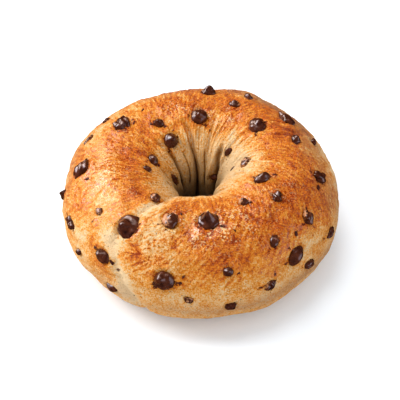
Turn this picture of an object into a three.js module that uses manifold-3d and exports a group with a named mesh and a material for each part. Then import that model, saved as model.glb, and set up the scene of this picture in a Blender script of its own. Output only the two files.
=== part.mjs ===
// A chocolate chip bagel: one solid of baked dough, with the chips that show fused into it.
// Millimetres, +Z up. The origin is the middle of the flat underside.
// A place on the dough is two angles in degrees: `around` runs round the ring, anticlockwise from
// above, from +X; `over` runs round the rope of dough, from the outside (0) over the top (90) and
// down into the hole (180).
import * as THREE from "three";
import { mergeVertices } from "three/addons/utils/BufferGeometryUtils.js";
import Module from "manifold-3d";

const wasm = await Module();
wasm.setup();

// The ring of dough
const outerRadii = [54.0, 54.0, 56.0, 55.1, 55.4, 54.1, 53.9, 53.8, 55.6, 55.0, 55.6, 55.4];
const holeRadius = 7.7;
const holeOffset = { x: -0.7, y: 0.2 };
const topHeight = 39.6;
const topTilt = { size: 2.2, around: 15 };
const widestHeight = 16.5;
const underDepth = 17.8;
const roundnessAbove = 2.05;
const roundnessBelow = 2.3;
const middleShift = { x: -0.1, y: 0.6 };
const ringSteps = 96;
const ropeSteps = 37;

// Long soft swellings of the rope: waves round the ring, waves round the rope, height, phase
const swellings = [
  [3, 1, 0.45, 20],
  [5, -2, 0.35, 140],
  [8, 1, 0.22, 250],
  [4, 3, 0.2, 75],
];

// Where the two ends of the rope overlap: a shallow valley, and a lip on one side of it
const seam = {
  over: [-70, -30, -8, 8, 25, 45, 64, 85, 100, 118, 150, 200],
  around: [250, 247, 243, 238, 234, 230, 231, 233.5, 235.5, 236, 237, 238],
  depth: 1.3,
  width: 2.6,
  lipHeight: 1.3,
  lipReach: 12,
};

// Folds that the hole draws into the dough, as they run down its wall
const holeFolds = [
  { over: [106, 123, 143, 158, 215], around: [105, 100, 98, 93, 90], depth: 2.6, width: 1.1 },
  { over: [112, 130, 143, 165, 215], around: [142, 136, 135, 134, 132], depth: 1.6, width: 1.1 },
  { over: [128, 143, 152, 165, 215], around: [53, 50, 46, 45, 44], depth: 2.4, width: 1.1 },
  { over: [112, 150, 215], around: [75, 72, 69], depth: 0.7, width: 1.2 },
  { over: [118, 150, 215], around: [8, 6, 4], depth: 0.8, width: 1.2 },
  { over: [118, 150, 215], around: [170, 167, 166], depth: 0.9, width: 1.2 },
  { over: [112, 150, 215], around: [270, 272, 275], depth: 1.2, width: 1.3 },
  { over: [115, 150, 215], around: [312, 309, 307], depth: 1.2, width: 1.3 },
];

// Chips that show from the front and above: around, over, length, width, turn of the length from
// the ring's direction, and how proud of the dough the chip stands
const frontChips = [
  [89, 107, 6.6, 6.4, 0, 2.6],
  [83, 69, 6.0, 4.6, 0, 2.4],
  [61, 66.5, 3.8, 3.0, 150, 1.4],
  [65, 85, 3.8, 3.2, 0, 1.2],
  [34.5, 97.5, 7.6, 6.0, 160, 2.5],
  [33, 65, 7.8, 4.4, 10, 1.6],
  [13.5, 71, 4.4, 3.6, 10, 1.6],
  [17, 46, 3.2, 2.4, 0, 1.0],
  [35, 134, 3.2, 2.0, 80, 1.0],
  [355.5, 120.5, 5.0, 3.6, 140, 0.8],
  [331, 99, 7.2, 4.6, 155, 2.2],
  [351, 50, 6.8, 5.0, 105, 1.7],
  [51, 163, 3.4, 3.6, 0, 1.2],
  [144, 76.5, 7.2, 5.6, 170, 2.0],
  [126.5, 102.5, 5.0, 3.6, 130, 1.7],
  [125, 121.5, 6.0, 6.0, 0, 2.7],
  [165, 122, 4.6, 3.8, 30, 1.5],
  [187, 118, 3.6, 3.0, 60, 0.8],
  [180, 50.5, 8.0, 5.6, 125, 1.8],
  [182, 13, 6.4, 4.0, 80, 1.6],
  [154, 159, 5.4, 1.8, 90, 0.8],
  [228.5, 107, 4.6, 4.2, 0, 1.3],
  [156, 51, 5.0, 3.0, 160, 0.7],
  [142, 49, 3.6, 2.6, 0, 0.7],
  [231, 64, 9.0, 8.6, 30, 4.2],
  [211.5, 55, 3.4, 3.0, 0, 0.6],
  [200.5, 17.5, 7.4, 3.4, 0, 1.3],
  [226.5, 25.5, 7.0, 5.0, 175, 2.2],
  [212, 2.5, 3.8, 2.8, 30, 1.0],
  [232.5, 351, 5.8, 3.0, 10, 1.2],
  [256, 26, 7.8, 7.2, 0, 3.0],
  [266, 6.5, 4.0, 2.6, 160, 0.7],
  [253.5, 82.5, 7.6, 4.8, 100, 1.9],
  [277, 84, 7.8, 7.4, 0, 3.2],
  [304, 93.5, 3.8, 3.2, 130, 1.4],
  [322.5, 77, 3.8, 3.2, 0, 1.5],
  [326.5, 44.5, 5.4, 4.0, 70, 2.0],
  [305, 47, 4.6, 3.4, 45, 1.6],
  [313, 24, 8.2, 5.8, 30, 2.2],
  [320, 2, 4.8, 3.4, 160, 1.4],
  [282, 34.5, 3.3, 3.0, 0, 1.4],
  [298.5, 9, 4.6, 3.0, 20, 1.1],
  [282, 358.5, 4.8, 2.9, 0, 1.3],
  [336, 11.5, 6.4, 2.8, 12, 1.3],
];

// Chips on the faces turned away from the front, spread by a rule
const front = { x: 0, y: -0.72, z: 0.69 };
const hiddenChips = {
  draws: 120,
  facing: -0.14,
  spacing: 10.5,
  clearOfBase: 5.5,
  length: [4.0, 7.4],
  widthShare: 0.78,
  riseShare: 0.28,
};
const chipSink = 0.3;
const chipBelow = 0.35;
const chipSides = 8;
const chipRings = 4;
const chipSpread = 1.08;

const crustColour = 0xc98946;
const crustRoughness = 0.55;

const rad = THREE.MathUtils.degToRad;
const signedPower = (x, power) => Math.sign(x) * Math.abs(x) ** power;
const wrap = (degrees) => ((((degrees + 180) % 360) + 360) % 360) - 180;
const bell = (x) => Math.exp(-x * x);

// The value at x of the smooth curve through the points (xs, ys), level beyond its ends.
function along(xs, ys, x) {
  if (x <= xs[0]) return ys[0];
  if (x >= xs[xs.length - 1]) return ys[ys.length - 1];
  const slope = (i) => {
    const before = Math.max(i - 1, 0);
    const after = Math.min(i + 1, xs.length - 1);
    return (ys[after] - ys[before]) / (xs[after] - xs[before]);
  };
  const i = xs.findIndex((knot) => knot > x) - 1;
  const step = xs[i + 1] - xs[i];
  const t = (x - xs[i]) / step;
  const rise = t * t * (3 - 2 * t);
  return (
    ys[i] * (1 - rise) +
    ys[i + 1] * rise +
    step * t * (1 - t) * ((1 - t) * slope(i) - t * slope(i + 1))
  );
}

// The smooth closed curve through values spaced evenly round the ring, at one direction.
function roundRing(values, around) {
  const count = values.length;
  const place = (around / 360) * count;
  const i = Math.floor(place);
  const near = [-1, 0, 1, 2].map((j) => values[(((i + j) % count) + count) % count]);
  return along([-1, 0, 1, 2], near, place - i);
}

// A factor that is 1 between from and to, and falls to 0 over `fade` degrees on either side.
function between(x, from, to, fade) {
  const inside = Math.min(x - from, to - x) / fade + 1;
  return THREE.MathUtils.smoothstep(inside, 0, 1);
}

// The smooth ring: a rounded section whose outer and inner radii and height vary a little.
function ringPoint(around, over) {
  const a = rad(around);
  const c = Math.cos(rad(over));
  const s = Math.sin(rad(over));
  const outer = roundRing(outerRadii, around);
  const middle = (outer + holeRadius) / 2;
  const half = (outer - holeRadius) / 2;
  const top = topHeight + topTilt.size * Math.cos(rad(around - topTilt.around));
  const roundness = s >= 0 ? roundnessAbove : roundnessBelow;
  const reach = s >= 0 ? top - widestHeight : underDepth;
  const r = middle + half * signedPower(c, 2 / roundness);
  const inward = (1 - c) / 2;
  return new THREE.Vector3(
    r * Math.cos(a) + holeOffset.x * inward,
    r * Math.sin(a) + holeOffset.y * inward,
    widestHeight + reach * signedPower(s, 2 / roundness),
  );
}

// Directions along the ring, over the rope and straight out of the dough at one place.
function directions(around, over) {
  const step = 0.5;
  const ringWay = ringPoint(around + step, over).sub(ringPoint(around - step, over)).normalize();
  const overWay = ringPoint(around, over + step).sub(ringPoint(around, over - step)).normalize();
  return { ringWay, overWay, out: new THREE.Vector3().crossVectors(ringWay, overWay).normalize() };
}

// How far the seam presses in, and its lip stands out, at one place.
function seamRelief(around, over, radius) {
  const measured = over > 270 ? over - 360 : over;
  const offset = wrap(around - along(seam.over, seam.around, measured)) * rad(1) * radius;
  const fade = between(measured, -45, 165, 30);
  const lip = offset > 0 ? bell((offset - seam.width) / seam.lipReach) : -bell(offset / seam.lipReach);
  const lipFade = between(measured, 60, 125, 35);
  return fade * (-seam.depth * bell(offset / seam.width)) + lipFade * seam.lipHeight * lip * 0.5;
}

// How far the hole's folds press in at one place.
function foldRelief(around, over, radius) {
  return holeFolds.reduce((sum, fold) => {
    const offset = wrap(around - along(fold.over, fold.around, over)) * rad(1) * radius;
    const fade = between(over, fold.over[0] + 12, 225, 14);
    return sum - fold.depth * fade * bell(offset / fold.width);
  }, 0);
}

// All relief on the smooth ring, in millimetres straight out of the dough.
function relief(around, over, radius) {
  const soft = swellings.reduce(
    (sum, [ringWaves, ropeWaves, height, phase]) =>
      sum + height * Math.sin(rad(ringWaves * around + ropeWaves * over + phase)),
    0,
  );
  return soft + seamRelief(around, over, radius) + foldRelief(around, over, radius);
}

// A point on the finished dough, which is pressed flat where it lay on the tray.
function doughPoint(around, over) {
  const point = ringPoint(around, over);
  const radius = Math.hypot(point.x - holeOffset.x, point.y - holeOffset.y);
  point.addScaledVector(directions(around, over).out, relief(around, over, radius));
  point.z = Math.max(point.z, 0);
  return point;
}

// A closed geometry as a solid that can be cut and joined.
function solidOf(geometry) {
  const bare = geometry.clone();
  bare.deleteAttribute("normal");
  bare.deleteAttribute("uv");
  const merged = mergeVertices(bare, 1e-3);
  return new wasm.Manifold(
    new wasm.Mesh({
      numProp: 3,
      vertProperties: merged.attributes.position.array,
      triVerts: new Uint32Array(merged.index.array),
    }),
  );
}

// The dough: a torus whose points are set by their two angles.
function makeDough() {
  const geometry = new THREE.TorusGeometry(1, 0.5, ropeSteps, ringSteps);
  const place = geometry.attributes.position;
  const angles = geometry.attributes.uv;
  for (let i = 0; i < place.count; i++) {
    const around = (angles.getX(i) % 1) * 360;
    const over = (angles.getY(i) % 1) * 360;
    place.setXYZ(i, ...doughPoint(around, over));
  }
  return solidOf(geometry);
}

// One chip: a drop with a blunt tip, turned on its axis, half sunk in the dough. Its eight sides
// are spread a little, so that it covers as much dough as a round chip of its length and width.
function makeChip([around, over, length, width, turn, rise]) {
  const profile = [];
  for (let i = 0; i <= chipRings; i++) {
    const angle = rad(-90 + (180 * i) / chipRings);
    const s = Math.sin(angle);
    const height = s < 0 ? s * chipBelow * width : s * (0.8 + 0.2 * s ** 4) * (rise + chipSink);
    const r = i === 0 || i === chipRings ? 0 : chipSpread * Math.cos(angle) ** 0.8;
    profile.push(new THREE.Vector2(r, height));
  }
  const geometry = new THREE.LatheGeometry(profile, chipSides);
  geometry.rotateX(Math.PI / 2);
  geometry.scale(length / 2, width / 2, 1);
  geometry.rotateZ(rad(turn));
  const { ringWay, overWay, out } = directions(around, over);
  const centre = doughPoint(around, over).addScaledVector(out, -chipSink);
  const frame = new THREE.Matrix4().makeBasis(ringWay, overWay, out).setPosition(centre);
  return solidOf(geometry.applyMatrix4(frame));
}

// The chips that the rule spreads, by fractions that never repeat.
function spreadChips() {
  const chips = [];
  const taken = frontChips.map(([around, over]) => doughPoint(around, over));
  for (let i = 1; i <= hiddenChips.draws; i++) {
    const around = ((i * 0.7548776662) % 1) * 360;
    const over = ((i * 0.569840291) % 1) * 360;
    const size = (i * 0.6180339887) % 1;
    const place = doughPoint(around, over);
    const seen = directions(around, over).out.dot(front) > hiddenChips.facing;
    const low = place.z < hiddenChips.clearOfBase;
    const crowded = taken.some((other) => other.distanceTo(place) < hiddenChips.spacing);
    if (seen || low || crowded) continue;
    taken.push(place);
    const length = THREE.MathUtils.lerp(...hiddenChips.length, size);
    const width = length * hiddenChips.widthShare;
    chips.push([around, over, length, width, size * 180, length * hiddenChips.riseShare]);
  }
  return chips;
}

// The bagel: dough and chips joined into one solid.
function makeBagel() {
  const chips = [...frontChips, ...spreadChips()].map(makeChip);
  const whole = chips.reduce((solid, chip) => solid.add(chip), makeDough());
  const { numProp, numVert, vertProperties, triVerts } = whole.getMesh();
  const positions = new Float32Array(numVert * 3);
  for (let i = 0; i < numVert; i++) {
    positions.set(vertProperties.subarray(i * numProp, i * numProp + 3), i * 3);
  }
  const geometry = new THREE.BufferGeometry();
  geometry.setAttribute("position", new THREE.BufferAttribute(positions, 3));
  geometry.setIndex(new THREE.BufferAttribute(triVerts, 1));
  geometry.computeVertexNormals();
  const material = new THREE.MeshStandardMaterial({
    color: crustColour,
    roughness: crustRoughness,
    metalness: 0,
  });
  const mesh = new THREE.Mesh(geometry, material);
  mesh.name = "bagel";
  mesh.position.set(middleShift.x, middleShift.y, 0);
  return mesh;
}

const bagel = new THREE.Group();
bagel.add(makeBagel());
export default bagel;
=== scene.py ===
import math

import bpy
import numpy as np
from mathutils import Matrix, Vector


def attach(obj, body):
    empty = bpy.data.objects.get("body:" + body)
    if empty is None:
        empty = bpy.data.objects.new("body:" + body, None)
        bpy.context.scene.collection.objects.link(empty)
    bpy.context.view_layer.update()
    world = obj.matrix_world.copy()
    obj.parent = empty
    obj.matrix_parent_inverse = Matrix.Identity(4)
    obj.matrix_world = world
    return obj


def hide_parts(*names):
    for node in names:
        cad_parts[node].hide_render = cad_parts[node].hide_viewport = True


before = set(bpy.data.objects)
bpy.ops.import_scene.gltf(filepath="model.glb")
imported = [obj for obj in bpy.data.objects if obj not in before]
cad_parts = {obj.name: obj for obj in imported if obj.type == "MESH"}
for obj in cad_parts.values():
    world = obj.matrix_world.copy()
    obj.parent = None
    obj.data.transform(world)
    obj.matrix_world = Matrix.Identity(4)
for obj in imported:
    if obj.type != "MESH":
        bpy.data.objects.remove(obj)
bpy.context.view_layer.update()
mm = 0.001
print("frame loaded")


# Curves and ripples that every piece uses

# The smooth curve through the points (xs, ys), level beyond its ends: cubic pieces whose slope
# at each point is that of the line between its neighbours.
def along(xs, ys, x):
    xs, ys = np.asarray(xs, float), np.asarray(ys, float)
    before = np.maximum(np.arange(len(xs)) - 1, 0)
    after = np.minimum(np.arange(len(xs)) + 1, len(xs) - 1)
    slopes = (ys[after] - ys[before]) / (xs[after] - xs[before])
    x = np.clip(x, xs[0], xs[-1])
    i = np.clip(np.searchsorted(xs, x, side="right") - 1, 0, len(xs) - 2)
    step = xs[i + 1] - xs[i]
    t = (x - xs[i]) / step
    rise = t * t * (3 - 2 * t)
    curve = ys[i] * (1 - rise) + ys[i + 1] * rise
    return curve + step * t * (1 - t) * ((1 - t) * slopes[i] - t * slopes[i + 1])


# The same angle between -180 and 180 degrees.
def wrap(degrees):
    return (degrees + 180) % 360 - 180


# A bell curve, 1 at 0 and nearly 0 from 2 on.
def bell(x):
    return np.exp(-x * x)


# 0 below the low value, 1 above the high one, and 3 t^2 - 2 t^3 between them.
def smoothStep(x, low, high):
    t = np.clip((x - low) / (high - low), 0, 1)
    return t * t * (3 - 2 * t)


# 1 between two angles, falling to 0 over `fade` degrees outside them.
def between(x, low, high, fade):
    return smoothStep(np.minimum(x - low, high - x) / fade + 1, 0, 1)


# The over angle counted from -90 to 270, so that it doesn't jump on the outer side.
def signedOver(over):
    return np.where(over > 270, over - 360, over)


# A random pattern, about -1 to 1, whose details are `size` millimetres long: a sum of sine waves
# sin(n around + m over + phase) in random directions, with n and m rounded to whole numbers so
# that it closes on itself. With a small spread its crests lie near the slant, in degrees from
# the ring's direction towards the over direction.
def grain(around, over, size, seed, slant=0, spread=90):
    waves = 60
    random = np.random.default_rng(seed)
    total = np.zeros_like(around)
    for _ in range(waves):
        way = math.radians(slant + 90 + random.uniform(-spread, spread))
        length = size * random.uniform(0.75, 1.35)
        n = round(math.cos(way) * ring["crestLength"] / length)
        m = round(math.sin(way) * ring["ropeLength"] / length)
        total += np.sin(np.radians(n * around + m * over) + random.uniform(0, 2 * math.pi))
    return total / math.sqrt(waves)


# The dough's form, as the CAD has it, in millimetres

# Outer radii stand at equal turns from +X, the top tilts up by so much towards a direction, the
# roundness is the section's power above and below its widest height, the middle's shift puts the
# whole in the CAD's box, and swellings are waves round the ring and over it, with size and phase.
ring = {
    "outerRadii": [54.0, 54.0, 56.0, 55.1, 55.4, 54.1, 53.9, 53.8, 55.6, 55.0, 55.6, 55.4],
    "holeRadius": 7.7,
    "holeOffset": (-0.7, 0.2),
    "topHeight": 39.6,
    "topTilt": (2.2, 15),
    "widestHeight": 16.5,
    "underDepth": 17.8,
    "roundness": (2.05, 2.3),
    "middleShift": (-0.1, 0.6),
    "crestLength": 239,
    "ropeLength": 130,
    "swellings": [(3, 1, 0.45, 20), (5, -2, 0.35, 140), (8, 1, 0.22, 250), (4, 3, 0.2, 75)],
}

# The seam where the two ends of the rope overlap: the line of its valley, and the lip beside it
seam = {
    "over": [-70, -30, -8, 8, 25, 45, 64, 85, 100, 118, 150, 200],
    "around": [250, 247, 243, 238, 234, 230, 231, 233.5, 235.5, 236, 237, 238],
    "depth": 1.5,
    "width": 2.4,
    "span": (-45, 165, 30),    # first and last over angle of the valley, and its fade
    "lipHeight": 1.3,
    "lipReach": 12,
    "lipSpan": (60, 125, 35),
    "paleWidth": 3.2,
    "paleSpan": (-20, 100, 15),
}

# Folds down the wall of the hole: over, around, depth and width
holeFolds = [
    ([106, 123, 143, 158, 215], [105, 100, 98, 93, 90], 2.6, 0.9),
    ([112, 130, 143, 165, 215], [142, 136, 135, 134, 132], 1.6, 0.9),
    ([128, 143, 152, 165, 215], [53, 50, 46, 45, 44], 2.4, 0.9),
    ([112, 150, 215], [75, 72, 69], 0.7, 0.8),
    ([118, 150, 215], [8, 6, 4], 0.8, 1.0),
    ([118, 150, 215], [170, 167, 166], 0.9, 1.0),
    ([144, 160, 215], [270, 272, 275], 1.2, 1.1),
    ([128, 150, 215], [312, 309, 307], 1.2, 1.1),
]
foldEnds = {"start": 12, "end": 225, "fade": 14}


# The smooth ring: a rounded section between the outer and the hole's radius, r = middle + half c,
# z = widest height + reach s, with c and s a superellipse's cosine and sine of the over angle.
def ringPoint(around, over):
    radii = ring["outerRadii"]
    a, o = np.radians(around), np.radians(over)
    c, s = np.cos(o), np.sin(o)
    place = (around % 360) / 360 * len(radii)
    outer = along(np.arange(-1, len(radii) + 2), radii[-1:] + radii + radii[:2], place)
    middle = (outer + ring["holeRadius"]) / 2
    half = (outer - ring["holeRadius"]) / 2
    top = ring["topHeight"] + ring["topTilt"][0] * np.cos(np.radians(around - ring["topTilt"][1]))
    power = 2 / np.where(s >= 0, *ring["roundness"])
    reach = np.where(s >= 0, top - ring["widestHeight"], ring["underDepth"])
    r = middle + half * np.sign(c) * np.abs(c) ** power
    inward = (1 - c) / 2
    x = r * np.cos(a) + ring["holeOffset"][0] * inward
    y = r * np.sin(a) + ring["holeOffset"][1] * inward
    return np.stack([x, y, ring["widestHeight"] + reach * np.sign(s) * np.abs(s) ** power], -1)


def unit(vectors):
    return vectors / np.linalg.norm(vectors, axis=-1, keepdims=True)


# Directions along the ring, over the rope and straight out of the dough.
def directions(around, over):
    ringWay = unit(ringPoint(around + 0.5, over) - ringPoint(around - 0.5, over))
    overWay = unit(ringPoint(around, over + 0.5) - ringPoint(around, over - 0.5))
    return ringWay, overWay, unit(np.cross(ringWay, overWay))


# Distance in millimetres along the ring from a line that runs over the rope.
def ringDistance(around, over, lineOver, lineAround, radius):
    return np.radians(wrap(around - along(lineOver, lineAround, over))) * radius


# The relief that the CAD has too: swellings, the seam's valley and lip, and the hole's folds.
def mainRelief(around, over, radius):
    height = np.zeros_like(around)
    for n, m, size, phase in ring["swellings"]:
        height += size * np.sin(np.radians(n * around + m * over + phase))
    signed = signedOver(over)
    offset = ringDistance(around, signed, seam["over"], seam["around"], radius)
    height -= seam["depth"] * between(signed, *seam["span"]) * bell(offset / seam["width"])
    lip = np.where(
        offset > 0,
        bell((offset - seam["width"]) / seam["lipReach"]),
        -bell(offset / seam["lipReach"]),
    )
    height += seam["lipHeight"] / 2 * between(signed, *seam["lipSpan"]) * lip
    for foldOver, foldAround, depth, width in holeFolds:
        offset = ringDistance(around, over, foldOver, foldAround, radius)
        start = foldOver[0] + foldEnds["start"]
        height -= depth * between(over, start, foldEnds["end"], foldEnds["fade"]) * bell(offset / width)
    return height


# The camera and the lights

studio = {
    "elevation": 44,
    "distance": 650,
    "aim": (0.2, 1.2, 16.7),
    "lens": 148.6,
    # name: direction it comes from, distance, size, power, colour, and what it lights: all, the
    # soft part alone, or the shine alone
    "lights": {
        "overhead": ((-0.10, 0.20, 0.97), 1.0, 0.45, 3.3, (1, 1, 1), "soft"),
        "backLeft": ((-0.78, 0.29, 0.55), 0.9, 0.55, 7.4, (1, 1, 1), "all"),
        "leftShine": ((-0.62, 0.48, 0.58), 0.9, 0.70, 13.0, (1, 0.8, 0.58), "shine"),
        "topShine": ((-0.12, 0.26, 0.95), 1.0, 0.40, 2.0, (1, 0.8, 0.58), "shine"),
        "rightShine": ((0.93, -0.36, 0.10), 0.9, 0.90, 6.5, (1, 0.92, 0.88), "shine"),
    },
    "sky": 0.86,
    "floorReach": 3.0,
    "floor": {
        "Base Color": (0.86, 0.885, 0.91, 1), "Roughness": 0.9, "Specular IOR Level": 0.1,
        "Emission Color": (0.58, 0.8, 1, 1), "Emission Strength": 0.15,
    },
}


# The chips

# The chips that show: around, over, length, width, turn of the length from the ring's direction,
# rise, and kind
frontChips = [
    (89, 107, 6.6, 6.4, 0, 2.6, "drop"), (84.5, 68.5, 6.0, 4.6, 0, 2.4, "drop"),
    (62, 64, 3.8, 3.0, 150, 1.4, "chunk"), (65.5, 84, 4.6, 3.8, 0, 1.2, "drop"),
    (36, 96, 8.4, 6.8, 160, 2.5, "drop"), (33.5, 63, 7.8, 4.4, 10, 1.6, "chunk"),
    (13.5, 71, 4.4, 3.6, 10, 1.6, "drop"), (16, 49, 2.8, 2.0, 0, 1.0, "chunk"),
    (38.5, 134, 4.0, 2.4, 80, 1.0, "drop"), (358.5, 122.5, 5.0, 3.6, 140, 0.8, "film"),
    (331, 99, 7.2, 4.6, 155, 2.2, "drop"), (352, 48.5, 6.2, 4.6, 105, 1.7, "chunk"),
    (49, 165.5, 3.0, 2.8, 0, 1.2, "drop"), (144, 75, 7.2, 5.6, 170, 2.0, "chunk"),
    (125.5, 101, 4.6, 3.4, 130, 1.7, "drop"), (125.5, 123.5, 6.0, 6.0, 0, 2.7, "drop"),
    (162.5, 124, 5.2, 4.2, 30, 1.5, "drop"), (184, 119, 3.8, 3.0, 60, 0.8, "drop"),
    (177.5, 49.5, 8.0, 5.6, 125, 1.8, "chunk"), (180.5, 11, 5.8, 3.0, 80, 1.6, "drop"),
    (154, 159, 5.4, 1.8, 90, 0.8, "drop"), (228.5, 107, 4.6, 4.2, 0, 1.3, "drop"),
    (157.5, 47, 5.4, 2.0, 160, 0.7, "film"), (142, 49, 3.6, 2.6, 0, 0.7, "chunk"),
    (232.5, 63.5, 9.8, 9.6, 30, 2.7, "drop"), (211.5, 55, 3.4, 3.0, 0, 0.6, "film"),
    (200.5, 17.5, 7.4, 3.4, 0, 1.3, "chunk"), (227, 24, 7.0, 5.0, 175, 2.2, "drop"),
    (211.5, 1, 3.4, 2.4, 30, 1.0, "chunk"), (232.5, 351, 5.8, 3.0, 10, 1.2, "chunk"),
    (256, 25, 7.8, 7.2, 0, 3.0, "drop"), (266, 6.5, 4.0, 2.6, 160, 0.7, "film"),
    (252.5, 83, 7.4, 6.0, 100, 1.9, "drop"), (276.5, 85, 8.0, 7.6, 0, 3.2, "drop"),
    (304.5, 94.5, 4.0, 3.4, 130, 1.4, "drop"), (322.5, 77.5, 4.1, 3.5, 0, 1.5, "chunk"),
    (327, 45, 6.0, 4.4, 70, 2.0, "chunk"), (305.5, 46.5, 5.0, 3.7, 45, 1.6, "drop"),
    (313, 23, 8.2, 5.8, 30, 2.2, "drop"), (320, 1.5, 5.2, 3.7, 160, 1.4, "chunk"),
    (282, 33, 3.9, 3.6, 0, 1.4, "drop"), (298.5, 8.5, 5.0, 3.3, 20, 1.1, "chunk"),
    (282, 358.5, 4.8, 2.9, 0, 1.3, "chunk"), (336.5, 11, 5.6, 2.4, 12, 1.3, "chunk"),
]

hidden = {
    "front": (0, -0.72, 0.69),
    "draws": 120, "facing": -0.14, "spacing": 10.5, "clearOfBase": 5.5,
    "length": (4.0, 7.4),
    "widthShare": 0.78,
    "riseShare": 0.28,
    "kinds": ["drop", "chunk", "drop", "film"],
    "aroundStep": 0.7548776662,    # shares of a turn that spread the draws evenly
    "overStep": 0.569840291,
    "sizeStep": 0.6180339887,
}


# One place on the finished form before its fine relief, and its three directions.
def chipSeat(around, over):
    a, o = np.array([float(around)]), np.array([float(over)])
    point = ringPoint(a, o)
    radius = np.hypot(point[:, 0] - ring["holeOffset"][0], point[:, 1] - ring["holeOffset"][1])
    ringWay, overWay, out = directions(a, o)
    point = point + out * mainRelief(a, o, radius)[:, None]
    point[:, 2] = np.maximum(point[:, 2], 0)
    return point[0], ringWay[0], overWay[0], out[0]


# The chips on the faces turned away, where the CAD spreads them by the same rule.
def spreadChips():
    chips = []
    taken = [chipSeat(chip[0], chip[1])[0] for chip in frontChips]
    for i in range(1, hidden["draws"] + 1):
        around = i * hidden["aroundStep"] % 1 * 360
        over = i * hidden["overStep"] % 1 * 360
        size = i * hidden["sizeStep"] % 1
        place, _, _, out = chipSeat(around, over)
        seen = out @ np.array(hidden["front"]) > hidden["facing"]
        low = place[2] < hidden["clearOfBase"]
        crowded = min(np.linalg.norm(place - other) for other in taken) < hidden["spacing"]
        if seen or low or crowded:
            continue
        taken.append(place)
        shortest, longest = hidden["length"]
        length = shortest + (longest - shortest) * size
        width = length * hidden["widthShare"]
        kind = hidden["kinds"][i % 4]
        rise = length * hidden["riseShare"]
        chips.append((around, over, length, width, size * 180, rise, kind))
    return chips


allChips = frontChips + spreadChips()

# Chocolate that melted and ran out beside the chips, in thin patches: around, over, length,
# width, turn
smears = [
    (82, 116, 2.4, 1.6, 120), (98.5, 106.5, 1.5, 1.0, 0), (76, 121, 1.2, 0.8, 100),
    (27.5, 103.5, 1.9, 1.4, 120), (43, 94, 2.0, 1.3, 160), (35.5, 87, 1.5, 1.0, 30),
    (10.5, 71.5, 1.4, 1.0, 0), (7, 139, 3.1, 0.6, 95), (338.5, 91, 1.7, 1.1, 130),
    (330.5, 106.5, 1.9, 0.9, 70), (352, 59.5, 2.2, 1.0, 10), (345.5, 48, 2.2, 1.0, 10),
    (148.5, 82, 2.5, 1.8, 160), (138.5, 84.5, 2.0, 1.0, 30), (151, 77, 1.5, 0.8, 40),
    (122, 109, 1.9, 1.1, 120), (131, 97, 1.2, 0.8, 60), (134.5, 131, 2.5, 1.4, 60),
    (118, 115.5, 1.4, 0.8, 0), (163, 131, 2.2, 1.2, 90), (171, 117, 1.7, 0.8, 0),
    (174, 58.5, 2.9, 1.0, 150), (186, 56, 2.0, 1.3, 60), (176, 43, 1.7, 1.3, 45),
    (213, 44, 2.2, 0.6, 100), (195, 18, 2.4, 0.9, 0), (206, 16, 2.4, 0.9, 165),
    (221.5, 27, 2.4, 1.4, 20), (232, 23.5, 3.2, 1.6, 165), (235, 19, 1.5, 1.0, 30),
    (262, 23.5, 2.4, 1.8, 20), (252.5, 18, 2.7, 1.6, 140), (263.5, 30, 1.2, 0.8, 60),
    (224, 57, 1.9, 1.0, 60), (252.5, 72, 2.2, 1.0, 0),
    (247.5, 75, 1.5, 1.0, 30), (258, 92, 1.4, 0.8, 120), (284.5, 75.5, 3.1, 1.8, 130),
    (270, 79, 2.0, 1.4, 40), (289, 70, 1.5, 0.7, 120), (307.5, 90, 1.5, 1.1, 40),
    (322.5, 43.5, 2.9, 1.2, 170), (326.5, 34.5, 1.9, 0.9, 150), (330, 51, 1.4, 0.8, 60),
    (301.5, 42, 2.0, 1.0, 20), (317.5, 41.5, 1.9, 1.1, 45), (307.5, 22, 2.2, 1.5, 20),
    (317.5, 24, 1.7, 1.0, 70), (311, 34, 1.4, 0.8, 60), (294.5, 10.5, 3.4, 0.8, 5),
    (301, 17, 2.2, 0.9, 80), (298.5, 1.5, 1.7, 0.8, 60), (316, 5, 1.4, 1.0, 150),
    (331, 13, 2.0, 0.9, 10), (127, 77, 2.0, 0.8, 10), (137, 81, 1.9, 0.8, 150),
    (254, 359, 1.9, 0.6, 170), (243, 353, 1.4, 0.6, 0), (22, 75, 3.1, 0.6, 10),
    (234, 36, 1.2, 0.7, 40), (219.5, 97, 1.5, 0.6, 30), (286, 30, 1.4, 0.7, 20),
]
smearRise = 0.15


# How deep a place lies inside an ellipse at a chip or smear: 1 at its middle, 0 at its edge and
# negative outside, by the ellipse's own distance along and across its length. On the far side of
# the rope it is far outside.
def ellipseDepth(points, chip):
    seat, ringWay, overWay, out = chipSeat(chip[0], chip[1])
    offset = points - seat
    x, y = offset @ ringWay, offset @ overWay
    turn = math.radians(chip[4])
    lengthwise = x * math.cos(turn) + y * math.sin(turn)
    crosswise = y * math.cos(turn) - x * math.sin(turn)
    half, across = chip[2] / 2, chip[3] / 2
    near = np.abs(offset @ out) < max(half, 3)
    return np.where(near, 1 - np.hypot(lengthwise / half, crosswise / across), -9)


# The dough

dough = {
    "steps": 480,
    "shownOver": (-62, 232),    # over angles with fine steps; the underside lies past them
    "shownStep": 1.5, "underSteps": 12, "lumps": 0.22, "dimples": 0.17, "crinkles": 0.13,
    "pebbles": 0.075, "gathers": 0.34, "striations": 0.10, "streaks": 0.09, "rimStreaks": 0.07,
    "holeStreaks": 0.10, "veinWidth": 0.22,
    # degrees by which the patterns wander, and the share of dimples gone at the near lip
    "driftAround": 1.6, "driftOver": 3.0, "smoothLip": 0.8,
}

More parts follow.
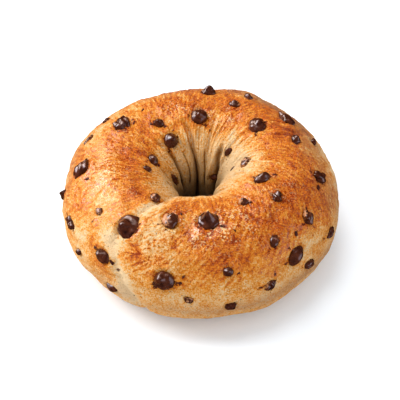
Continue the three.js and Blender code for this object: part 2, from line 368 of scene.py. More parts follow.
# Round each chip, in millimetres from its edge: a raised rim, a groove, and the sunken middle
socket = {
    "rim": (1.3, 0.9, 0.06),       # place, width, and height as a share of the chip's size
    "groove": (0.2, 0.4, 0.3),     # place, width and depth
    "depth": 0.6,
    "reach": 6,
    "raggedStain": 0.25,
    "stainFade": (-0.5, 0.4),
    "smearStain": 0.9,
    "smearFade": (-0.6, 0.4),
}

# Random patterns of the browning and the relief: size of their details in millimetres, random
# seed, and the slant and spread of their crests in degrees
patterns = {
    "broadMottling": (14, 11), "mottling": (6, 12), "freckles": (2.6, 13),
    "frontStreaks": (1.8, 17, 50, 12), "otherStreaks": (1.8, 18, 70, 16),
    "rimStreaks": (4, 14, 90, 20), "holeStreaks": (2.4, 16, 90, 8), "driftAround": (16, 20),
    "driftOver": (14, 19), "lumps": (20, 21), "dimples": (7, 22), "frontCreases": (2.6, 23, 50, 35),
    "backCreases": (2.4, 24, 88, 40), "sideCreases": (2.6, 33), "pebbles": (1.9, 25),
    "gathers": (7, 26, 90, 5), "fineGathers": (3.2, 27, 90, 5), "striations": (2.4, 28, 0, 12),
    "stainEdge": (2.2, 31), "broadStainEdge": (5, 32),
}

# Where the patterns lie, over the rope or around the ring: first and last angle, and the fade
# outside them
spans = {
    "top": (15, 114, 25), "front": (240, 330, 14), "streaks": (25, 116, 14),
    "rimStreaks": (100, 124, 14), "holeStreaks": (126, 215, 12), "nearLipAround": (245, 315, 25),
    "nearLipOver": (100, 150, 16), "crest": (42, 112, 14), "frontCreases": (245, 330, 14),
    "backCreases": (40, 125, 16), "veins": (20, 118, 14), "gathers": (114, 235, 12),
    "striations": (-40, 40, 20),
}

# Mottling of the browning: its pattern, its strength, and the share that is left on the sides
mottling = [("broadMottling", 0.072, 0.35), ("mottling", 0.08, 0.35), ("freckles", 0.06, 0.4)]

# The over angles, and how baked the dough is there
bakeCurve = (
    [-90, -50, -20, 0, 18, 40, 62, 85, 100, 112, 122, 150, 200, 270],
    [0.20, 0.22, 0.26, 0.28, 0.38, 0.50, 0.58, 0.60, 0.58, 0.48, 0.26, 0.12, 0.10, 0.20],
)

# Patches on the dough, each as around, over, reach around, reach over, and how much: browner and
# paler ones. The paler ones on the left crest and at the front left, where the glaze shines, also
# paint in part of that sheen.
bakePatches = [
    (172, 100, 24, 10, 0.22), (214, 96, 10, 8, 0.22), (195, 74, 24, 14, -0.2),
    (152, 92, 12, 12, -0.1), (190, 42, 22, 12, 0.1), (212, 56, 14, 16, -0.26),
    (212, 32, 12, 18, -0.1), (228, 12, 7, 9, 0.34), (229, 42, 7, 9, -0.5),
    (239, 8, 4, 24, -0.42), (234, 90, 5, 20, -0.5), (242, 98, 6, 8, -0.3),
    (250, 64, 13, 26, -0.52), (272, 76, 16, 14, 0.2), (276, 46, 16, 12, 0.12),
    (262, 5, 22, 14, -0.05), (300, 84, 14, 12, 0.04), (322, 66, 22, 18, 0.14),
    (338, 62, 12, 12, 0.14), (292, 34, 12, 10, 0.14), (305, 46, 10, 10, 0.1),
    (324, 24, 10, 9, -0.18), (338, 30, 10, 12, 0.12), (300, 8, 20, 12, -0.05),
    (350, 34, 14, 12, 0.16), (2, 40, 14, 8, 0.05), (352, 92, 12, 9, 0.02),
    (15, 82, 14, 10, 0.12), (355, 114, 24, 10, -0.3), (14, 138, 34, 22, -0.28),
    (28, 70, 12, 9, 0.16), (50, 78, 18, 12, 0.06), (98, 88, 26, 12, 0.1), (62, 98, 18, 8, 0.06),
    (88, 116, 14, 8, 0.1), (130, 106, 12, 8, -0.16), (150, 54, 18, 14, -0.24),
    (128, 62, 12, 18, -0.16), (150, 118, 20, 10, 0.14), (180, 124, 26, 12, 0.16),
    (272, 114, 30, 12, 0.1), (252, 97, 10, 12, 0.16), (160, 140, 14, 16, 0.22),
    (110, 46, 12, 9, 0.22), (150, 8, 16, 16, -0.22), (12, 50, 10, 10, -0.12),
    (12, 30, 14, 16, -0.5), (352, 14, 14, 14, -0.14), (211, 26, 10, 14, -0.1),
]

# Duller, greyer brown ones; those along the foot, at over angles near 0, also paint in the shade
# there
dullAndBaseShadePatches = [
    (35, 48, 34, 12, 0.9), (10, 64, 10, 8, 0.4), (100, 58, 24, 10, 0.5), (140, 48, 16, 8, 0.4),
    (350, 26, 10, 16, 0.6), (60, 56, 20, 8, 0.5), (230, 350, 10, 14, 0.4), (285, 352, 40, 9, 0.7),
    (330, 350, 24, 12, 0.6), (0, 4, 16, 16, 0.5), (170, 16, 22, 16, 0.5), (160, 36, 16, 12, 0.35),
]

# Glossier ones, where the glaze lies thick
glossPatches = [
    (190, 78, 26, 16, 0.5), (252, 66, 9, 20, 0.5), (76, 104, 20, 10, 0.5), (281, 72, 24, 18, 0.5),
    (300, 98, 16, 10, 0.2), (350, 108, 22, 10, 0.3), (110, 92, 12, 12, 0.3), (325, 84, 20, 14, 0.2),
    (291, 90, 7, 9, 0.35), (262, 90, 8, 9, 0.3),
]

# Those where the skin is cracked most
crackPatches = [
    (247, 52, 12, 24, 1.0), (192, 78, 26, 16, 0.6), (276, 66, 20, 16, 0.5), (310, 80, 20, 16, 0.3),
    (80, 106, 34, 12, 0.4), (40, 90, 20, 16, 0.3), (150, 80, 20, 14, 0.3),
]

# Thin brown lines where a flap of dough lies on the next, and the folds down the wall of the hole,
# which the crust darkens with painted shade: over, around, depth and width
flapLines = [
    ([48, 62, 76, 90], [22, 19, 17, 21], 0.5, 0.5),
    ([28, 42, 56, 72], [350, 356, 0, 358], 0.5, 0.6),
    ([38, 50, 62], [243, 241, 240], 0.35, 0.5),
    ([60, 70, 80], [30, 31, 36], 0.3, 0.5),
    ([114, 123, 132, 142, 153, 165, 176, 200], [106, 104, 102, 98, 94.5, 91, 90, 90], 0.5, 0.32),
    ([126, 132, 142, 154, 164, 190], [134, 133.5, 132.5, 133, 132, 132], 0.4, 0.3),
    ([134, 143, 152, 161, 190], [54, 52.8, 48.5, 46.5, 44], 0.5, 0.3),
    ([132, 140, 146, 152, 160], [186, 190, 195, 199, 206], 0.25, 0.25),
    ([138, 143, 152, 161, 174], [116, 115, 112, 110, 112], 0.2, 0.25),
    ([140, 146, 154, 160, 176], [78, 77, 75, 72, 68], 0.2, 0.25),
]
flapEnds = {"inset": 4, "fade": 6}
flapRidge = {"away": 1.6, "width": 1.6, "share": 0.8}

# Soft hollows, as patches whose last number is a depth
hollows = [
    (246, 116, 15, 14, 1.2), (240, 48, 8, 16, 0.4), (238, 112, 7, 14, 0.9),
]


# Angles over the rope: fine steps where the dough shows, wide steps underneath.
def overAngles():
    first, last = dough["shownOver"]
    shown = np.arange(first, last, dough["shownStep"])
    under = np.linspace(
        shown[-1] + dough["shownStep"], first + 360, dough["underSteps"], endpoint=False
    )
    return np.concatenate([shown, under])


# A random pattern by its name.
def pattern(name, around, over):
    return grain(around, over, *patterns[name])


# The sum of patches that fade as a bell in the two angles.
def patchSum(around, over, patches):
    total = np.zeros_like(around)
    for patchAround, patchOver, reachAround, reachOver, amount in patches:
        x = wrap(around - patchAround) / reachAround
        y = wrap(over - patchOver) / reachOver
        total += amount * bell(np.hypot(x, y))
    return total


# How baked each place is, 0 pale to 1 deep brown: a curve over the rope, patches as bells in the
# two angles, random mottling that grows with the browning, and thin streaks.
def bakeLevel(around, over):
    signed = signedOver(over)
    level = along(*bakeCurve, signed) + patchSum(around, over, bakePatches)
    top = between(signed, *spans["top"])
    for name, strength, sideShare in mottling:
        level += (sideShare + (1 - sideShare) * top) * strength * pattern(name, around, over)
    front = between(around % 360, *spans["front"])
    streaks = front * pattern("frontStreaks", around, over)
    streaks += (1 - front) * pattern("otherStreaks", around, over)
    level += dough["streaks"] * between(signed, *spans["streaks"]) * streaks
    for name in ("rimStreaks", "holeStreaks"):
        level += dough[name] * between(over, *spans[name]) * pattern(name, around, over)
    return level


# Where a flap line shows, 1 on its length and 0 past its ends, and the distance from it.
def flapReach(lineOver, lineAround, around, signed, radius):
    offset = ringDistance(around, signed, lineOver, lineAround, radius)
    inset = flapEnds["inset"]
    reach = between(signed, lineOver[0] + inset, lineOver[-1] - inset, flapEnds["fade"])
    return reach, offset


# The fine relief, all from random patterns: lumps and dimples everywhere, creased skin that
# slants across the crest, pebbles, gathers that run into the hole, and striations on the sides.
def fineRelief(around, over, bake, radius):
    signed = signedOver(over)
    around = around + dough["driftAround"] * pattern("driftAround", around, over)
    over = over + dough["driftOver"] * pattern("driftOver", around, over)
    height = dough["lumps"] * pattern("lumps", around, over) - patchSum(around, over, hollows)
    nearLip = between(around % 360, *spans["nearLipAround"]) * between(signed, *spans["nearLipOver"])
    dimpled = dough["dimples"] * (1 - dough["smoothLip"] * nearLip)
    height += dimpled * pattern("dimples", around, over)
    crest = between(signed, *spans["crest"])
    front = between(around % 360, *spans["frontCreases"])
    back = between(around % 360, *spans["backCreases"])
    skin = front * pattern("frontCreases", around, over)
    skin += back * pattern("backCreases", around, over)
    skin += (1 - front - back) * pattern("sideCreases", around, over)
    veins = bell(skin / dough["veinWidth"]) * between(signed, *spans["veins"])
    height += dough["crinkles"] * crest * np.clip(bake * 1.5, 0.3, 1.1) * (np.abs(skin) - 0.5)
    height += dough["pebbles"] * (0.5 + 0.5 * crest) * pattern("pebbles", around, over)
    folded = between(signed, *spans["gathers"]) * (1 - nearLip)
    gathers = pattern("gathers", around, over) + 0.5 * pattern("fineGathers", around, over)
    height += dough["gathers"] * folded * (np.abs(gathers) - 0.5) * np.clip(radius / 20, 0.4, 1)
    sides = between(signed, *spans["striations"])
    height += dough["striations"] * sides * pattern("striations", around, over)
    for lineOver, lineAround, depth, width in flapLines:
        reach, offset = flapReach(lineOver, lineAround, around, signed, radius)
        ridge = flapRidge["share"] * bell((offset - flapRidge["away"]) / flapRidge["width"])
        height += reach * depth * (ridge - bell(offset / width))
    return height, veins


# The sockets that the chips sink, each with a raised rim and a groove inside it, and the stain
# round chips and smears, whose edge a random pattern makes ragged.
def socketsAndStain(around, over, main):
    sockets = np.zeros_like(around)
    stain = np.zeros_like(around)
    ragged = pattern("stainEdge", around, over) + 0.6 * pattern("broadStainEdge", around, over)
    ragged *= socket["raggedStain"]
    rimPlace, rimWidth, rimShare = socket["rim"]
    groovePlace, grooveWidth, grooveDepth = socket["groove"]
    for chip in allChips:
        size = (chip[2] + chip[3]) / 4
        depth = ellipseDepth(main, chip)
        distance = -depth * size
        edge = rimShare * size * bell((distance - rimPlace) / rimWidth)
        edge -= grooveDepth * bell((distance - groovePlace) / grooveWidth)
        sunk = edge - socket["depth"] * smoothStep(depth, 0, 0.5)
        sockets += np.where(distance < socket["reach"], sunk, 0)
        stain = np.maximum(stain, smoothStep(ragged - distance, *socket["stainFade"]))
    for smear in smears:
        distance = -ellipseDepth(main, smear) * (smear[2] + smear[3]) / 4
        smeared = socket["smearStain"] * smoothStep(ragged - distance, *socket["smearFade"])
        stain = np.maximum(stain, smeared)
    return sockets, stain


# The whole dough as arrays: each point is the smooth ring's, moved straight out by all relief, and
# pressed flat underneath.
def makeDoughGrid():
    turns = np.arange(dough["steps"]) * 360 / dough["steps"]
    around, over = np.meshgrid(turns, overAngles(), indexing="ij")
    over = over % 360
    signed = signedOver(over)
    smooth = ringPoint(around, over)
    offset = ring["holeOffset"]
    radius = np.hypot(smooth[..., 0] - offset[0], smooth[..., 1] - offset[1])
    out = directions(around, over)[2]
    bake = bakeLevel(around, over)
    height = mainRelief(around, over, radius)
    sockets, stain = socketsAndStain(around, over, smooth + out * height[..., None])
    relief, veins = fineRelief(around, over, bake, radius)
    points = smooth + out * (height + relief + sockets)[..., None]
    points[..., 2] = np.maximum(points[..., 2], 0)
    points[..., :2] += ring["middleShift"]
    seamOffset = ringDistance(around, signed, seam["over"], seam["around"], radius)
    pale = between(signed, *seam["paleSpan"]) * bell(seamOffset / seam["paleWidth"])
    lines = np.zeros_like(height)
    for lineOver, lineAround, _, width in flapLines:
        reach, offset = flapReach(lineOver, lineAround, around, signed, radius)
        lines = np.maximum(lines, reach * bell(offset / width))
    cracked = patchSum(around, over, crackPatches)
    fields = {
        "bake": bake,
        "stain": stain * (1 - np.clip(1.6 * pale, 0, 1)),
        "pale": pale,
        "line": lines,
        "over": signed / 90,
        # the dull tone; along the foot it is painted shade
        "dullAndBaseShade": patchSum(around, over, dullAndBaseShadePatches),
        "gloss": patchSum(around, over, glossPatches),
        "cracks": 0.15 + cracked,
        "veins": veins * (0.25 + cracked),
    }
    return points * mm, fields


# The faces of a grid of points that closes on itself both ways.
def ringFaces(rows, columns):
    i, j = np.meshgrid(np.arange(rows), np.arange(columns), indexing="ij")
    nextRow, nextColumn = (i + 1) % rows, (j + 1) % columns
    here, there = i * columns, nextRow * columns
    faces = np.stack([here + j, there + j, there + nextColumn, here + nextColumn], -1)
    return faces.reshape(-1, 4).tolist()


# A new object in the scene, which carries a mesh or other data.
def newObject(name, data):
    made = bpy.data.objects.new(name, data)
    bpy.context.scene.collection.objects.link(made)
    return made


# A smooth mesh object with its fields as attributes.
def newPiece(name, points, faces, fields, material):
    mesh = bpy.data.meshes.new(name)
    mesh.from_pydata(points, [], faces)
    for field, values in fields.items():
        attribute = mesh.attributes.new(field, "FLOAT", "POINT")
        attribute.data.foreach_set("value", values.astype(np.float32).ravel())
    mesh.shade_smooth()
    mesh.materials.append(material)
    return newObject(name, mesh)


# How each kind of chip is formed: how far its outline is a worn polygon, the power of its
# section (lower is boxier), its nub's height as a share of the rise, its dents, and the dough
# that covers it
chipKinds = {
    "drop": {"corners": 0.05, "section": 0.85, "nub": 0.45, "dents": 0.012, "film": 0.0},
    "chunk": {"corners": 0.6, "section": 0.55, "nub": 0.1, "dents": 0.06, "film": 0.1},
    "film": {"corners": 0.3, "section": 0.7, "nub": 0.0, "dents": 0.03, "film": 0.58},
    "smear": {"corners": 0.6, "section": 0.7, "nub": 0.0, "dents": 0.16, "film": 0.45},
}
chipForm = {
    "stepsRound": 44,
    "stepsUp": 29,
    "sink": 0.3,           # how far a chip's widest line lies under the dough's face
    "root": (0.35, 1.5),   # its depth below that, as a share of its width, and the most it is
    "groove": (0.22, 1.4, 0.16),    # round a nub: depth, and place and width in its reach
}

# Nubs with a form of their own: the chip's place, then the nub's shift right and up as the camera
# sees it, in half sizes of the chip, its reach, its height in millimetres, and its slope's power
# (1 is a cone, 2 a round button)
nubs = {
    (232.5, 63.5): (-0.32, -0.08, 0.46, 1.7, 2.2), (256, 25): (-0.34, 0.36, 0.46, 1.6, 2.4),
    (276.5, 85): (0.0, 0.05, 0.52, 5.2, 1.15), (89, 107): (0.1, -0.1, 0.40, 1.2, 2.4),
    (36, 96): (0.25, 0.1, 0.4, 1.0, 1.6), (84.5, 68.5): (0.12, 0.0, 0.52, 1.1, 3.4),
    (227, 24): (-0.1, 0.35, 0.5, 1.0, 2.2), (313, 23): (0.1, -0.2, 0.6, 0.8, 2.6),
    (125.5, 123.5): (0.1, 0.0, 0.5, 1.2, 2.4), (331, 99): (0.3, 0.15, 0.45, 0.8, 2.0),
}

# Chips with a flatter top: the chip's place and the power of its section
flatChips = {(232.5, 63.5): 0.72, (125.5, 123.5): 0.6}

# Chips that dough partly covers: the chip's place, the side it lies on as the camera sees it,
# and how much
films = {
    (252.5, 83): (-0.5, 0.15, 0.52), (228.5, 107): (-0.15, -0.1, 0.5),
    (304.5, 94.5): (-0.5, -0.1, 0.5), (322.5, 77.5): (-0.2, 0.1, 0.34), (327, 45): (-0.5, 0.2, 0.3),
    (65.5, 84): (0.5, 0.0, 0.3), (184, 119): (0.3, -0.3, 0.3), (298.5, 8.5): (-0.4, 0.2, 0.36),
}


# The camera's right and up as seen from a chip's middle, in the chip's own two directions.
def seenOffset(right, up, ringWay, overWay):
    elevation = math.radians(studio["elevation"])
    offset = np.array([right, up * math.sin(elevation), up * math.cos(elevation)])
    return offset @ ringWay, offset @ overWay


# The outline of a chip, as a factor of an ellipse's radius: between a circle and a polygon,
# cos(pi / n) / cos(angle from the side's middle), with small waves.
def chipOutline(theta, roundedness, random):
    corners = random.integers(4, 6)
    phase = random.uniform(0, 2 * math.pi)
    sector = (theta + phase) % (2 * math.pi / corners) - math.pi / corners
    polygon = math.cos(math.pi / corners) / np.cos(sector)
    outline = 1 + roundedness * (polygon / polygon.mean() - 1)
    for waves in (2, 3, 5, 7):
        wave = random.uniform(0.01, 0.03) * (1 + roundedness)
        outline = outline + wave * np.sin(waves * theta + random.uniform(0, 6))
    return outline


# One chip as a closed grid of points, and how much dough covers each. Its section is a dome,
# radius cos(lift)^power and height sin(lift), with a nub that falls off as
# exp(-(distance / reach)^power) and a groove round it, all bent by a few random sine waves.
def chipPoints(chip, seed):
    around, over, length, width, turn, rise, kind = chip
    form = chipKinds[kind]
    random = np.random.default_rng(seed)
    seat, ringWay, overWay, out = chipSeat(around, over)
    theta = np.linspace(0, 2 * math.pi, chipForm["stepsRound"], endpoint=False)[:, None]
    lift = np.radians(np.linspace(-90, 90, chipForm["stepsUp"]))[None, :]
    outline = chipOutline(theta, form["corners"], random)
    spread = outline * np.cos(lift) ** flatChips.get((around, over), form["section"])
    x = spread * np.cos(theta)
    y = spread * np.sin(theta)
    nub = (random.uniform(-0.25, 0.25), random.uniform(0, 0.3), 0.42, form["nub"] * rise, 1.8)
    right, up, reach, height, power = nubs.get((around, over), nub)
    c, s = math.cos(math.radians(turn)), math.sin(math.radians(turn))
    nubU, nubV = seenOffset(right, up, ringWay, overWay)
    away = np.hypot(x - nubU * c - nubV * s, y - nubV * c + nubU * s)
    upper = smoothStep(np.sin(lift), 0, 0.4)
    sink = chipForm["sink"]
    rootShare, deepest = chipForm["root"]
    body = np.where(lift < 0, min(rootShare * width, deepest), rise - 0.5 * height + sink)
    dome = np.sin(lift) * body + upper * height * np.exp(-((away / reach) ** power))
    depth, place, narrow = chipForm["groove"]
    dome = dome - upper * depth * min(height, 1.5) * bell((away - place * reach) / narrow)
    local = np.stack([x * length / 2, y * width / 2, dome], -1)
    dent = sum(np.sin(local @ random.normal(0, 1.3, 3) + random.uniform(0, 6)) for _ in range(6))
    local *= (1 + form["dents"] * dent)[..., None]
    u = local[..., 0] * c - local[..., 1] * s
    v = local[..., 0] * s + local[..., 1] * c
    sideRight, sideUp, amount = films.get((around, over), (0, 0, form["film"]))
    sideU, sideV = seenOffset(sideRight, sideUp, ringWay, overWay)
    film = amount + (sideU * u / length + sideV * v / width) * 2
    points = seat - sink * out + u[..., None] * ringWay + v[..., None] * overWay
    points = points + local[..., 2:] * out
    points[..., :2] += ring["middleShift"]
    return points * mm, film


# The faces of one chip whose vertices begin at `start`: quads round its body, whose rows are
# `width` long, and a fan at each of its two poles, which come after the body.
def chipFaces(rows, width, start):
    i, j = np.meshgrid(np.arange(rows), np.arange(width - 1), indexing="ij")
    here, there = start + i * width + j, start + (i + 1) % rows * width + j
    quads = np.stack([here, there, there + 1, here + 1], -1).reshape(-1, 4)
    first = start + np.arange(rows) * width
    following = np.roll(first, -1)
    bottom = np.full(rows, start + rows * width)
    lowFan = np.stack([bottom, following, first], -1)
    highFan = np.stack([bottom + 1, first + width - 1, following + width - 1], -1)
    return quads.tolist() + lowFan.tolist() + highFan.tolist()


# All chips of one kind in one mesh.
def makeChips(name, kind, material):
    vertices, faces, covers = [], [], []
    meltedChips = [smear + (smearRise, "smear") for smear in smears]
    for number, chip in enumerate(allChips + meltedChips):
        if chip[6] != kind:
            continue
        points, film = chipPoints(chip, 100 + number)
        rows, columns = film.shape
        faces += chipFaces(rows, columns - 2, sum(len(block) for block in vertices))
        vertices.append(np.concatenate([points[:, 1:-1].reshape(-1, 3), points[0, [0, -1]]]))
        covers.append(np.concatenate([film[:, 1:-1].ravel(), film[0, [0, -1]]]))
    fields = {"film": np.concatenate(covers)}
    return newPiece(name, np.concatenate(vertices), faces, fields, material)


# Materials

def linear(red, green, blue):
    levels = [c / 255 for c in (red, green, blue)]
    return tuple(c / 12.92 if c <= 0.04045 else ((c + 0.055) / 1.055) ** 2.4 for c in levels) + (1,)


# A new node; nodes lie in rows of twelve, in the order in which they are made.
def addNode(tree, kind, **settings):
    row, column = divmod(len(tree.nodes), 12)
    node = tree.nodes.new(kind)
    node.location = (240 * column - 2900, -320 * row - 200)
    for name, value in settings.items():
        setattr(node, name, value)
    return node


# Link a socket to a node's output, or set it to a constant.
def feed(tree, socket, value):
    if isinstance(value, bpy.types.NodeSocket):
        tree.links.new(value, socket)
    else:
        socket.default_value = value


def mathNode(tree, operation, *values, clamp=False):
    node = addNode(tree, "ShaderNodeMath", operation=operation, use_clamp=clamp)
    for socket, value in zip(node.inputs, values):
        feed(tree, socket, value)
    return node.outputs[0]


def multiplyAdd(tree, *values, clamp=False):
    return mathNode(tree, "MULTIPLY_ADD", *values, clamp=clamp)


def noiseNode(tree, vector, scale, detail=3.0, roughness=0.55, distortion=0.0):
    node = addNode(tree, "ShaderNodeTexNoise")
    names = ("Vector", "Scale", "Detail", "Roughness", "Distortion")
    for name, value in zip(names, (vector, scale, detail, roughness, distortion)):
        feed(tree, node.inputs[name], value)
    return node.outputs["Fac"]


def rampNode(tree, value, stops):
    node = addNode(tree, "ShaderNodeValToRGB")
    ramp = node.color_ramp
    while len(ramp.elements) < len(stops):
        ramp.elements.new(0.5)
    for element, (position, shade) in zip(ramp.elements, stops):
        element.position = position
        element.color = linear(*shade)
    feed(tree, node.inputs["Fac"], value)
    return node.outputs["Color"]


def mixColour(tree, factor, first, second):
    node = addNode(tree, "ShaderNodeMix", data_type="RGBA")
    feed(tree, node.inputs[0], factor)
    feed(tree, node.inputs[6], first)
    feed(tree, node.inputs[7], second)
    return node.outputs[2]


# 0 below the low value, 1 above the high one, with a smooth step between.
def smoothRange(tree, value, low, high):
    node = addNode(tree, "ShaderNodeMapRange", interpolation_type="SMOOTHSTEP")
    for name, setting in (("Value", value), ("From Min", low), ("From Max", high)):
        feed(tree, node.inputs[name], setting)
    return node.outputs["Result"]


def fieldNode(tree, name):
    return addNode(tree, "ShaderNodeAttribute", attribute_name=name).outputs["Fac"]


def newMaterial(name):
    material = bpy.data.materials.new(name)
    material.use_nodes = True
    tree = material.node_tree
    coordinates = addNode(tree, "ShaderNodeTexCoord")
    return material, tree, tree.nodes["Principled BSDF"].inputs, coordinates.outputs["Object"]


# The fine grain of a surface, and the bump that it and a given height make.
def makeSurfaceGrain():
    group = bpy.data.node_groups.new("surfaceGrain", "ShaderNodeTree")
    group.interface.new_socket("Vector", in_out="INPUT", socket_type="NodeSocketVector")
    numbers = ("Scale", "Detail", "Roughness", "Grain Height", "Height", "Strength", "Distance")
    for name in numbers:
        group.interface.new_socket(name, in_out="INPUT", socket_type="NodeSocketFloat")
    group.interface.new_socket("Grain", in_out="OUTPUT", socket_type="NodeSocketFloat")
    group.interface.new_socket("Normal", in_out="OUTPUT", socket_type="NodeSocketVector")
    given = addNode(group, "NodeGroupInput").outputs
    fine = noiseNode(group, given["Vector"], given["Scale"], given["Detail"], given["Roughness"])
    height = multiplyAdd(group, fine, given["Grain Height"], given["Height"])
    bump = addNode(group, "ShaderNodeBump")
    feed(group, bump.inputs["Height"], height)
    feed(group, bump.inputs["Strength"], given["Strength"])
    feed(group, bump.inputs["Distance"], given["Distance"])
    result = addNode(group, "NodeGroupOutput").inputs
    feed(group, result["Grain"], fine)
    feed(group, result["Normal"], bump.outputs["Normal"])
    return group


def grainNode(tree, group, place, settings):
    node = addNode(tree, "ShaderNodeGroup", node_tree=group)
    feed(tree, node.inputs["Vector"], place)
    for name, value in settings.items():
        feed(tree, node.inputs[name], value)
    return node


crust = {
    "colours": [
        (0.0, (234, 200, 154)), (0.2, (235, 181, 116)), (0.4, (229, 149, 48)), (0.6, (216, 116, 4)),
        (0.8, (198, 88, 0)), (1.0, (150, 52, 0)),
    ],
    # colours that lie over the browning, the lowest first, and how much each covers: the dull tone
    # is also painted shade along the foot, the cream flecks are painted glints, and the wall and deep
    # tones are painted shade down the hole
    "layers": {
        "dullAndBaseShade": ((166, 116, 82), 0.75), "speck": ((104, 44, 10), 0.65),
        "fleck": ((255, 222, 160), 1.0), "stain": ((70, 17, 4), 0.92),
        "wall": ((156, 114, 50), 0.7), "deep": ((46, 20, 2), 0.92),
    },
    # what the browning takes from each noise and field, beside the bake
    "browning": {
        "patches": 0.5, "mottles": 0.5, "grain": 1.2, "cracks": 0.3, "veins": 0.5, "line": 0.28,
        "stain": 0.3, "pale": -0.35,
    },
    "browningStart": -1.1,
    # noises: scale, detail, roughness and distortion
    "noises": {
        "patches": (380, 3, 0.6), "mottles": (850, 3, 0.65), "cells": (300, 3, 0.6, 0.4),
        "specks": (1400, 1), "paintedGlintSpots": (1150, 1),
    },
    # the values between which each mask goes from 0 to 1
    "ranges": {
        "speck": (0.66, 0.74), "fleck": (0.54, 0.61), "glaze": (0.42, 0.6), "stain": (1.75, 1.98),
        "wall": (1.2, 2.2), "deep": (1.6, 2.3), "fold": (1.3, 1.6),
    },
    "grain": {
        "Scale": 1700, "Detail": 2, "Roughness": 0.7, "Grain Height": 1.5, "Strength": 1.0,
        "Distance": 0.48 * mm,
    },
    "mottleHeight": 1.6, "crackHeight": -0.25, "brownGloss": 0.6, "glossStart": -0.16,
    "dullRoughness": 0.8, "glossRoughness": 0.24, "coatRoughness": 0.16, "specular": 0.15,
}


def makeCrust(fieldNames, surfaceGrain):
    material, tree, shader, place = newMaterial("bakedCrust")
    ranges = crust["ranges"]
    noises = {name: noiseNode(tree, place, *values) for name, values in crust["noises"].items()}
    field = {name: fieldNode(tree, name) for name in fieldNames}
    grainy = grainNode(tree, surfaceGrain, place, crust["grain"])
    fine = grainy.outputs["Grain"]

    # cracks run where the cells' noise passes through its middle value
    ridge = mathNode(tree, "ABSOLUTE", mathNode(tree, "SUBTRACT", noises["cells"], 0.5))
    ridge = multiplyAdd(tree, ridge, -24.0, 1.0, clamp=True)
    cracks = mathNode(tree, "MULTIPLY", ridge, field["cracks"])

    sources = {**field, **noises, "grain": fine, "cracks": cracks}
    level = mathNode(tree, "ADD", field["bake"], crust["browningStart"])
    for name, amount in crust["browning"].items():
        level = multiplyAdd(tree, sources[name], amount, level)
    level = mathNode(tree, "MAXIMUM", level, 0.0, clamp=True)

    # flecks of cream, painted glints that stand in for highlights, gather where the glaze lies thick,
    # and stains have ragged edges
    glazed = multiplyAdd(tree, field["gloss"], 1.35, 0.12, clamp=True)
    glazed = mathNode(tree, "MULTIPLY", glazed, smoothRange(tree, noises["patches"], *ranges["glaze"]))
    paintedGlintSpots = smoothRange(tree, noises["paintedGlintSpots"], *ranges["fleck"])
    ragged = multiplyAdd(tree, noises["mottles"], 1.3, field["stain"])
    ragged = multiplyAdd(tree, fine, 0.9, ragged)
    stain = smoothRange(tree, ragged, *ranges["stain"])

    # painted shade: the hole darkens downwards, and first in its folds
    folds = mathNode(tree, "MULTIPLY", smoothRange(tree, field["over"], *ranges["fold"]), field["line"])
    deep = smoothRange(tree, field["over"], *ranges["deep"])
    masks = {
        "dullAndBaseShade": field["dullAndBaseShade"],
        "speck": smoothRange(tree, noises["specks"], *ranges["speck"]),
        "fleck": mathNode(tree, "MULTIPLY", paintedGlintSpots, glazed),
        "stain": stain,
        "wall": smoothRange(tree, field["over"], *ranges["wall"]),
        "deep": multiplyAdd(tree, folds, 0.8, deep, clamp=True),
    }
    colour = rampNode(tree, level, crust["colours"])
    for name, (shade, cover) in crust["layers"].items():
        mask = mathNode(tree, "MULTIPLY", masks[name], cover, clamp=True)
        colour = mixColour(tree, mask, colour, linear(*shade))
    feed(tree, shader["Base Color"], colour)

    gloss = multiplyAdd(tree, level, crust["brownGloss"], crust["glossStart"])
    gloss = mathNode(tree, "ADD", gloss, field["gloss"])
    gloss = mathNode(tree, "SUBTRACT", gloss, stain, clamp=True)
    sharp = mathNode(tree, "MULTIPLY", gloss, 2.0, clamp=True)
    span = crust["glossRoughness"] - crust["dullRoughness"]
    feed(tree, shader["Coat Weight"], gloss)
    feed(tree, shader["Roughness"], multiplyAdd(tree, sharp, span, crust["dullRoughness"]))
    shader["Coat Roughness"].default_value = crust["coatRoughness"]
    shader["Specular IOR Level"].default_value = crust["specular"]

    height = mathNode(tree, "MULTIPLY", noises["mottles"], crust["mottleHeight"])
    height = multiplyAdd(tree, cracks, crust["crackHeight"], height)
    feed(tree, grainy.inputs["Height"], height)
    feed(tree, shader["Normal"], grainy.outputs["Normal"])
    return material


chocolate = {
    "dark": (46, 15, 5),
    "film": (190, 126, 72),
    "filmRange": (1.15, 1.35),
    "filmCover": 0.85,
    "shine": (0.74, 0.76, 0.94, 1),
    "clouds": (420, 3),
    "blotches": (900, 2),
    "grain": {
        "Scale": 1100, "Detail": 3, "Roughness": 0.55, "Grain Height": 1.0, "Strength": 0.25,
        "Distance": 0.2 * mm,
    },
    "firm": {"light": (92, 44, 22), "roughness": 0.24, "specular": 0.5},
    "melted": {"light": (84, 32, 14), "roughness": 0.55, "specular": 0.2},
}


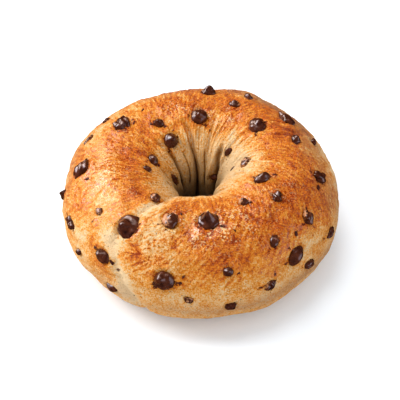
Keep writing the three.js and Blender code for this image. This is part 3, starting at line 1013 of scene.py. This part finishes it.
def makeChocolate(state, surfaceGrain):
    material, tree, shader, place = newMaterial(state + "Chocolate")
    look = chocolate[state]
    clouds = noiseNode(tree, place, *chocolate["clouds"])
    blotches = noiseNode(tree, place, *chocolate["blotches"])
    colour = rampNode(tree, clouds, [(0.3, chocolate["dark"]), (0.75, look["light"])])
    film = multiplyAdd(tree, blotches, 1.2, fieldNode(tree, "film"))
    film = smoothRange(tree, film, *chocolate["filmRange"])
    film = mathNode(tree, "MULTIPLY", film, chocolate["filmCover"])
    feed(tree, shader["Base Color"], mixColour(tree, film, colour, linear(*chocolate["film"])))
    uneven = multiplyAdd(tree, blotches, 0.3, look["roughness"] - 0.15)
    feed(tree, shader["Roughness"], multiplyAdd(tree, film, 0.3, uneven))
    shader["Specular Tint"].default_value = chocolate["shine"]
    shader["Specular IOR Level"].default_value = look["specular"]
    grainy = grainNode(tree, surfaceGrain, place, chocolate["grain"])
    feed(tree, shader["Normal"], grainy.outputs["Normal"])
    return material


# Build the bagel

surfaceGrain = makeSurfaceGrain()
points, fields = makeDoughGrid()
faces = ringFaces(*points.shape[:2])
bakedCrust = makeCrust(fields, surfaceGrain)
doughPiece = newPiece("dough", points.reshape(-1, 3), faces, fields, bakedCrust)
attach(doughPiece, "root")
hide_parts("bagel")
print("dough", len(doughPiece.data.polygons) * 2, "triangles")

firmChocolate = makeChocolate("firm", surfaceGrain)
meltedChocolate = makeChocolate("melted", surfaceGrain)
for name, kind, material in (
    ("dropChips", "drop", firmChocolate),
    ("chunkChips", "chunk", firmChocolate),
    ("filmedChips", "film", firmChocolate),
    ("smears", "smear", meltedChocolate),
):
    piece = makeChips(name, kind, material)
    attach(piece, "root")
    print(name, len(piece.data.polygons), "faces")


# The studio

def makeFloor():
    mesh = bpy.data.meshes.new("floor")
    reach = studio["floorReach"]
    corners = [(-reach, -reach, 0), (reach, -reach, 0), (reach, reach, 0), (-reach, reach, 0)]
    mesh.from_pydata(corners, [], [(0, 1, 2, 3)])
    material = bpy.data.materials.new("paleFloor")
    material.use_nodes = True
    shader = material.node_tree.nodes["Principled BSDF"]
    for name, value in studio["floor"].items():
        shader.inputs[name].default_value = value
    mesh.materials.append(material)
    floor = newObject("floor", mesh)
    floor.visible_glossy = False


def addLight(name, direction, distance, size, power, colour, part):
    data = bpy.data.lights.new(name, "AREA")
    data.shape = "DISK"
    data.size = size
    data.energy = power
    data.color = colour
    light = newObject(name, data)
    way = Vector(direction).normalized()
    light.location = way * distance
    light.visible_diffuse = part != "shine"
    light.visible_glossy = part != "soft"
    light.rotation_euler = way.to_track_quat("Z", "Y").to_euler()


def makeStudio():
    makeFloor()
    for name, light in studio["lights"].items():
        addLight(name, *light)
    world = bpy.data.worlds.new("studioSky")
    world.use_nodes = True
    background = world.node_tree.nodes["Background"]
    background.inputs["Color"].default_value = (1, 1, 1, 1)
    background.inputs["Strength"].default_value = studio["sky"]
    world.cycles_visibility.glossy = False
    bpy.context.scene.world = world
    elevation = math.radians(studio["elevation"])
    back = Vector((0, -math.cos(elevation), math.sin(elevation)))
    cameraData = bpy.data.cameras.new("camera")
    cameraData.lens = studio["lens"]
    cameraData.sensor_width = 36
    cameraData.clip_start = 0.01
    camera = newObject("camera", cameraData)
    camera.location = Vector(studio["aim"]) * mm + back * studio["distance"] * mm
    camera.rotation_euler = back.to_track_quat("Z", "Y").to_euler()
    bpy.context.scene.camera = camera
    bpy.context.scene.view_settings.view_transform = "Standard"


makeStudio()
print("studio ready")
